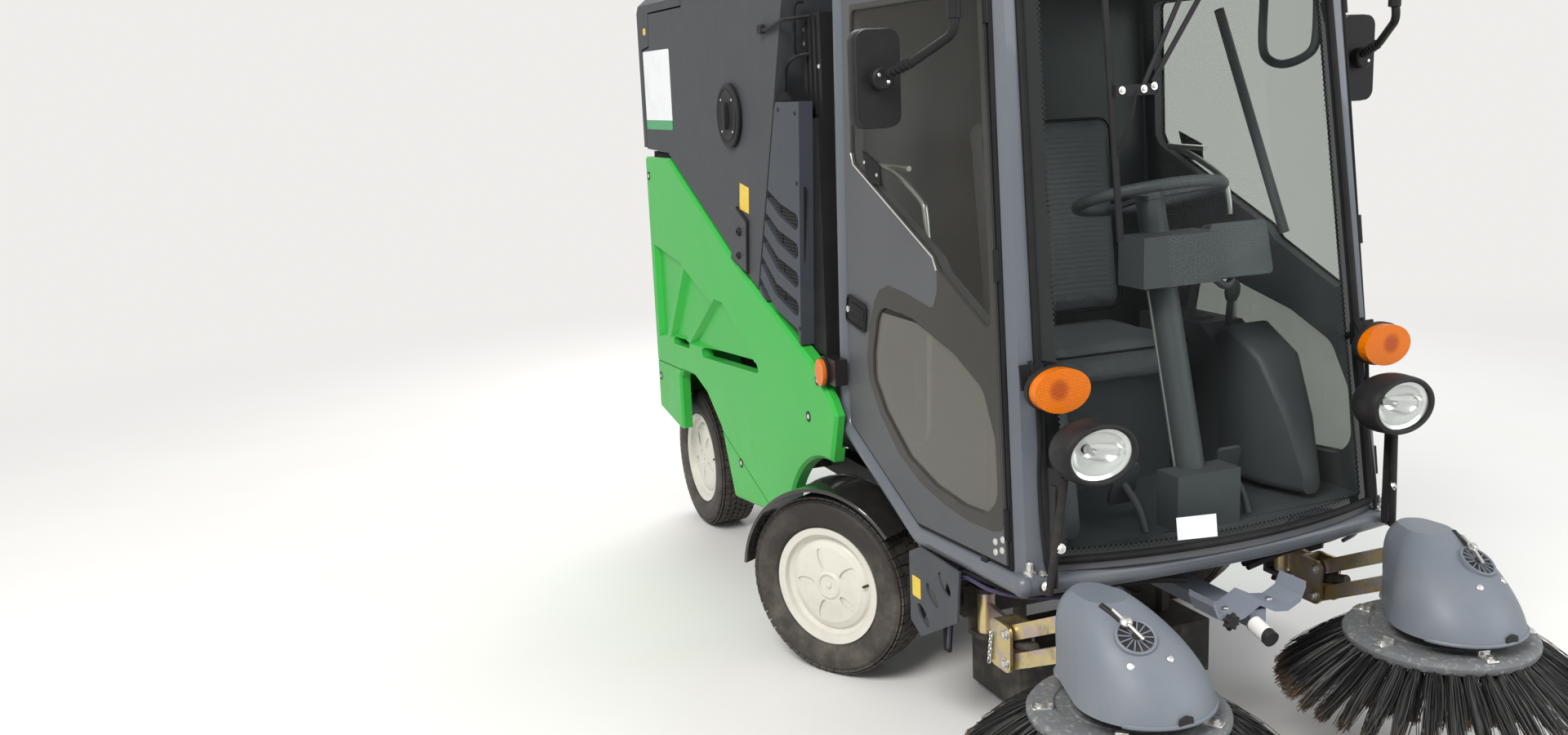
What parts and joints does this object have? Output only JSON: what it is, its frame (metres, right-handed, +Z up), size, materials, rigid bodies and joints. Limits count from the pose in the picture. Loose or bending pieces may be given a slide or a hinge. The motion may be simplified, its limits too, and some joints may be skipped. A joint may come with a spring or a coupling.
{
  "type": "compact road sweeper",
  "caption": "Compact road sweeper with glazed cab, tipping hopper, suction nozzle and side brushes on parallel-link arms; wheels, steering, doors, hopper, arms and brushes move.",
  "frame": {"origin": "on the ground, midway between the rear end and the brush tips, on the machine's centre line", "axes": "+X forward, +Y to the machine's left, +Z up"},
  "size_m": [3.2945, 1.621, 2.11],
  "materials": {
    "green_panel": "smooth",
    "dark_grey_moulding": "satin",
    "blue_grey_panel": "satin",
    "black_plastic": "satin",
    "gloss_black": "gloss",
    "grey_paint": "semi-gloss",
    "black_paint": "satin",
    "engine_metal": "rough",
    "zinc_plate": "passivated",
    "clear_glass": "clear",
    "amber": "ribbed",
    "red_lens": "ribbed",
    "seat_fabric": "woven",
    "cream_paint": "gloss",
    "tyre": "moulded",
    "bristle": "bristle"
  },
  "bodies": {
    "machine": {"chassis_frame": "black_paint", "front_axle": "black_paint", "rear_axle": "black_paint", "engine_block": "engine_metal", "side_panel_right": "green_panel", "side_panel_left": "green_panel", "rear_panel": "green_panel", "louvre_panels": "blue_grey_panel", "cooling_housing": "black_plastic", "cab_frame": "grey_paint", "cab_tub": "black_paint", "cab_roof": "blue_grey_panel", "windscreen": "clear_glass", "seat_frame": "black_plastic", "seat_cushions": "seat_fabric", "control_console": "black_plastic", "steering_wheel": "black_plastic", "headlamps": "black_plastic", "lamp_lenses": "clear_glass", "indicators": "amber", "wiper": "black_plastic", "step_plates": "blue_grey_panel", "centre_rest": "blue_grey_panel", "suction_nozzle": "black_paint", "beacon": "amber", "rear_lamps": "red_lens"},
    "hopper": {"hopper_shell": "dark_grey_moulding"},
    "hopper_door": {"hopper_door": "dark_grey_moulding"},
    "tie_rod": {"tie_rod": "black_paint"},
    "door_right": {"door_right": "grey_paint", "door_glass_right": "clear_glass", "mirror_right": "black_plastic"},
    "knuckle_right": {"knuckle_right": "black_paint", "fender_right": "gloss_black"},
    "wheel_front_right": {"rim_front_right": "cream_paint", "tyre_front_right": "tyre"},
    "wheel_rear_right": {"rim_rear_right": "cream_paint", "tyre_rear_right": "tyre"},
    "arm_right": {"arm_base_right": "zinc_plate"},
    "upper_link_right": {"upper_link_right": "zinc_plate"},
    "lower_link_right": {"lower_link_right": "zinc_plate"},
    "brush_head_right": {"brush_head_right": "zinc_plate", "brush_cover_right": "blue_grey_panel"},
    "side_brush_right": {"side_brush_right": "bristle"},
    "door_left": {"door_left": "grey_paint", "door_glass_left": "clear_glass", "mirror_left": "black_plastic"},
    "knuckle_left": {"knuckle_left": "black_paint", "fender_left": "gloss_black"},
    "wheel_front_left": {"rim_front_left": "cream_paint", "tyre_front_left": "tyre"},
    "wheel_rear_left": {"rim_rear_left": "cream_paint", "tyre_rear_left": "tyre"},
    "arm_left": {"arm_base_left": "zinc_plate"},
    "upper_link_left": {"upper_link_left": "zinc_plate"},
    "lower_link_left": {"lower_link_left": "zinc_plate"},
    "brush_head_left": {"brush_head_left": "zinc_plate", "brush_cover_left": "blue_grey_panel"},
    "side_brush_left": {"side_brush_left": "bristle"}
  },
  "joints": [
    {"name": "hopper_tip", "type": "hinge", "parent": "machine", "child": "hopper", "pos_m": [-1.5925, 0, 1.412], "axis": [0, -1, 0], "range_deg": [0, 75]},
    {"name": "hopper_door_swing", "type": "hinge", "parent": "hopper", "child": "hopper_door", "pos_m": [-1.0895, 0, 1.988], "axis": [0, 1, 0], "range_deg": [0, 80]},
    {"name": "door_right_swing", "type": "hinge", "parent": "machine", "child": "door_right", "pos_m": [0.9575, -0.53301, 0.5734], "axis": [-0.109, 0.0295, 0.9936], "range_deg": [0, 75]},
    {"name": "steer_right", "type": "hinge", "parent": "machine", "child": "knuckle_right", "pos_m": [0.0565, -0.527, 0.261], "axis": [0, 0, 1], "range_deg": [-62.4, 1.6]},
    {"name": "wheel_front_right_spin", "type": "hinge", "parent": "knuckle_right", "child": "wheel_front_right", "pos_m": [0.07978, -0.56668, 0.261], "axis": [-0.506, 0.8625, 0], "continuous": true},
    {"name": "wheel_rear_right_spin", "type": "hinge", "parent": "machine", "child": "wheel_rear_right", "pos_m": [-1.3925, -0.425, 0.261], "axis": [0, 1, 0], "continuous": true},
    {"name": "arm_right_swing", "type": "hinge", "parent": "machine", "child": "arm_right", "pos_m": [0.7195, -0.456, 0.37], "axis": [0, 0, -1], "range_deg": [0, 25]},
    {"name": "arm_right_lift", "type": "hinge", "parent": "arm_right", "child": "upper_link_right", "pos_m": [0.8695, -0.46, 0.372], "axis": [0, -1, 0], "range_deg": [-38, 8]},
    {"name": "lower_link_right_turn", "type": "hinge", "parent": "arm_right", "child": "lower_link_right", "pos_m": [0.8695, -0.46, 0.299], "axis": [0, -1, 0], "range_deg": [-38, 8]},
    {"name": "brush_head_right_level", "type": "hinge", "parent": "upper_link_right", "child": "brush_head_right", "pos_m": [1.11299, -0.46, 0.48866], "axis": [0, -1, 0], "range_deg": [-8, 38]},
    {"name": "side_brush_right_spin", "type": "hinge", "parent": "brush_head_right", "child": "side_brush_right", "pos_m": [1.2635, -0.433, 0.345], "axis": [0, 0, 1], "continuous": true},
    {"name": "door_left_swing", "type": "hinge", "parent": "machine", "child": "door_left", "pos_m": [0.9575, 0.53301, 0.5734], "axis": [0.109, 0.0295, -0.9936], "range_deg": [0, 75]},
    {"name": "steer_left", "type": "hinge", "parent": "machine", "child": "knuckle_left", "pos_m": [0.0565, 0.527, 0.261], "axis": [0, 0, 1], "range_deg": [-62.4, 1.6]},
    {"name": "wheel_front_left_spin", "type": "hinge", "parent": "knuckle_left", "child": "wheel_front_left", "pos_m": [0.03322, 0.56668, 0.261], "axis": [-0.506, 0.8625, 0], "continuous": true},
    {"name": "wheel_rear_left_spin", "type": "hinge", "parent": "machine", "child": "wheel_rear_left", "pos_m": [-1.3925, 0.425, 0.261], "axis": [0, 1, 0], "continuous": true},
    {"name": "arm_left_swing", "type": "hinge", "parent": "machine", "child": "arm_left", "pos_m": [0.7195, 0.456, 0.37], "axis": [0, 0, 1], "range_deg": [0, 25]},
    {"name": "arm_left_lift", "type": "hinge", "parent": "arm_left", "child": "upper_link_left", "pos_m": [0.8695, 0.46, 0.372], "axis": [0, -1, 0], "range_deg": [-38, 8]},
    {"name": "lower_link_left_turn", "type": "hinge", "parent": "arm_left", "child": "lower_link_left", "pos_m": [0.8695, 0.46, 0.299], "axis": [0, -1, 0], "range_deg": [-38, 8]},
    {"name": "brush_head_left_level", "type": "hinge", "parent": "upper_link_left", "child": "brush_head_left", "pos_m": [1.11299, 0.46, 0.48866], "axis": [0, -1, 0], "range_deg": [-8, 38]},
    {"name": "side_brush_left_spin", "type": "hinge", "parent": "brush_head_left", "child": "side_brush_left", "pos_m": [1.2635, 0.433, 0.345], "axis": [0, 0, 1], "continuous": true},
    {"name": "tie_rod_turn", "type": "hinge", "parent": "knuckle_right", "child": "tie_rod", "pos_m": [-0.0125, -0.56748, 0.209], "axis": [0, 0, 1], "range_deg": [-2, 63]}
  ],
  "couplings": [
    {"joint": "lower_link_right_turn", "follows": "arm_right_lift", "ratio": 1},
    {"joint": "brush_head_right_level", "follows": "arm_right_lift", "ratio": -1},
    {"joint": "lower_link_left_turn", "follows": "arm_left_lift", "ratio": 1},
    {"joint": "brush_head_left_level", "follows": "arm_left_lift", "ratio": -1},
    {"joint": "steer_left", "follows": "steer_right", "ratio": 1},
    {"joint": "tie_rod_turn", "follows": "steer_right", "ratio": -1}
  ]
}
